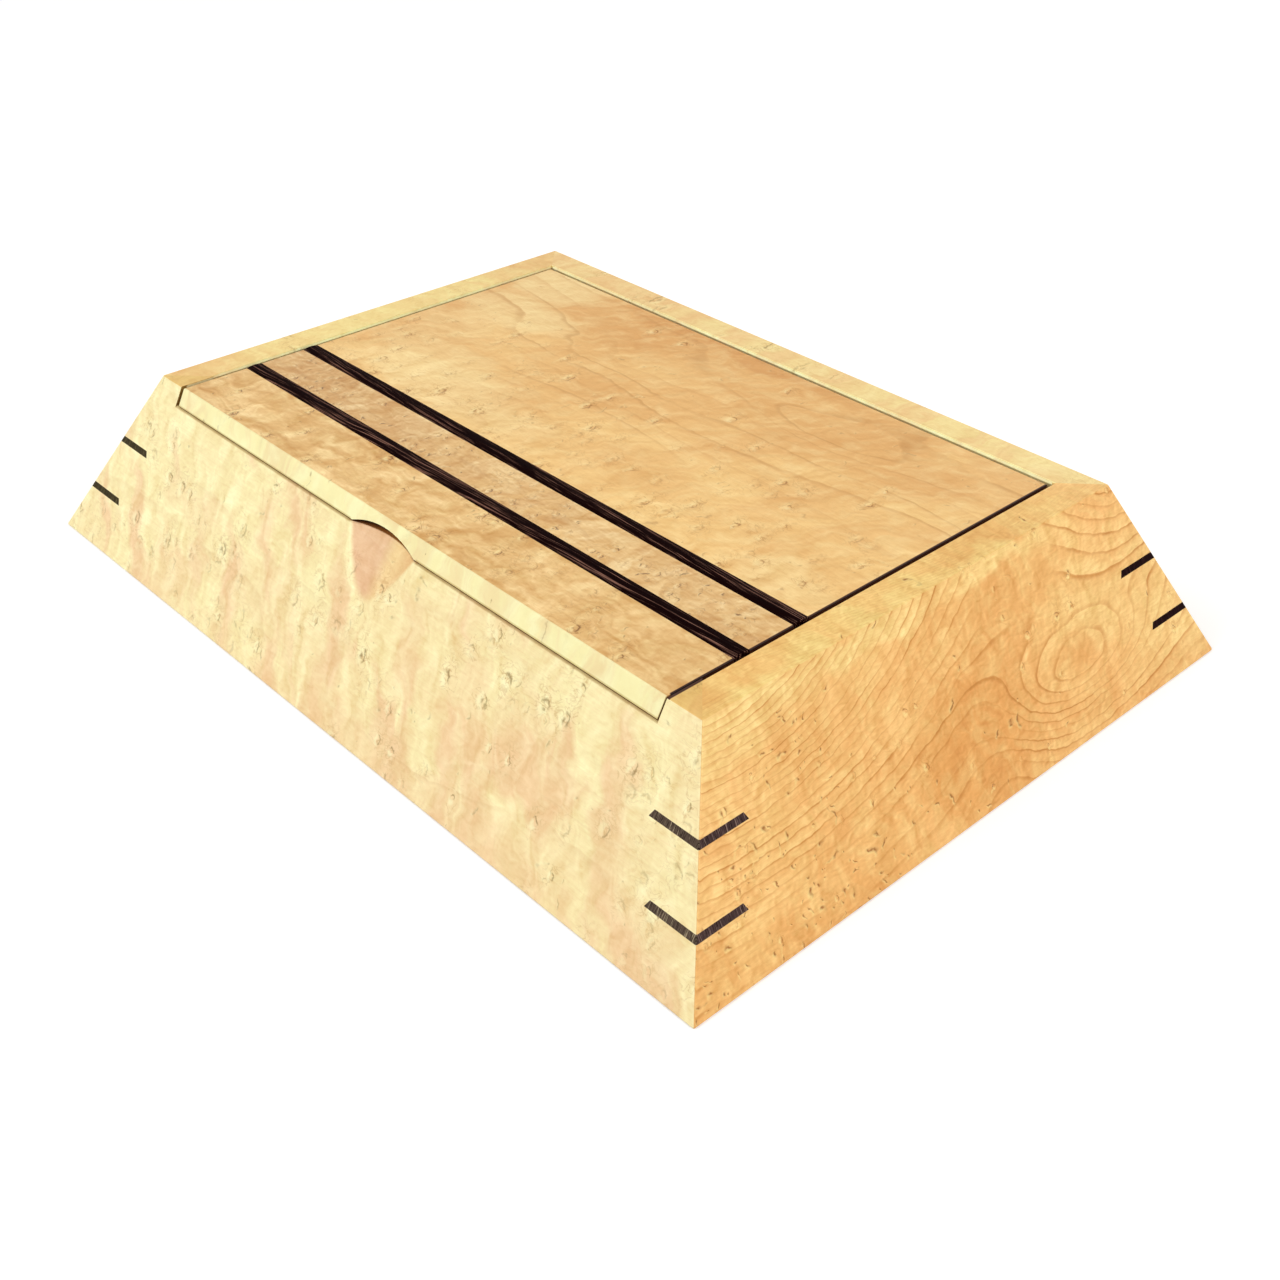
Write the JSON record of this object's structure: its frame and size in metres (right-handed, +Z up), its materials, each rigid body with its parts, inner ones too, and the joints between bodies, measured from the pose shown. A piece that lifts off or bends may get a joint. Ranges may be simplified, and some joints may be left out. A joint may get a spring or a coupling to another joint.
{
  "type": "dice box",
  "caption": "Low wooden box with leaning, mitred and splined walls, a lined floor, and an inset lid on hidden pins that lifts by a notch over a thumb scoop.",
  "frame": {"origin": "middle of the box on the surface it stands on", "axes": "+X to the right along the long side, +Y from the front to the rear, +Z up"},
  "size_m": [0.379, 0.28, 0.0716],
  "materials": {
    "maple_front": "oiled and waxed bird's-eye maple, palest board",
    "maple_side": "oiled and waxed bird's-eye maple, honey coloured",
    "maple_rear": "oiled and waxed bird's-eye maple",
    "maple_lid": "oiled and waxed bird's-eye maple",
    "wenge": "oiled open-grained wenge",
    "panel": "plain maple-faced panel",
    "felt": "dark green wool felt",
    "brass": "drawn brass rod"
  },
  "bodies": {
    "box": {"front_wall": "maple_front", "rear_wall": "maple_rear", "left_wall": "maple_side", "right_wall": "maple_side", "bottom_panel": "panel", "bottom_lining": "felt", "spline_front_left_upper": "wenge", "spline_front_left_lower": "wenge", "spline_front_right_upper": "wenge", "spline_front_right_lower": "wenge", "spline_rear_left_upper": "wenge", "spline_rear_left_lower": "wenge", "spline_rear_right_upper": "wenge", "spline_rear_right_lower": "wenge", "hinge_pin_left": "brass", "hinge_pin_right": "brass"},
    "lid": {"lid_front_board": "maple_lid", "lid_front_strip": "wenge", "lid_middle_board": "maple_lid", "lid_rear_strip": "wenge", "lid_main_board": "maple_lid"}
  },
  "joints": [
    {"name": "lid_hinge", "type": "hinge", "parent": "box", "child": "lid", "pos_m": [0, 0.0833, 0.066], "axis": [-1, 0, 0], "range_deg": [0, 100]}
  ]
}
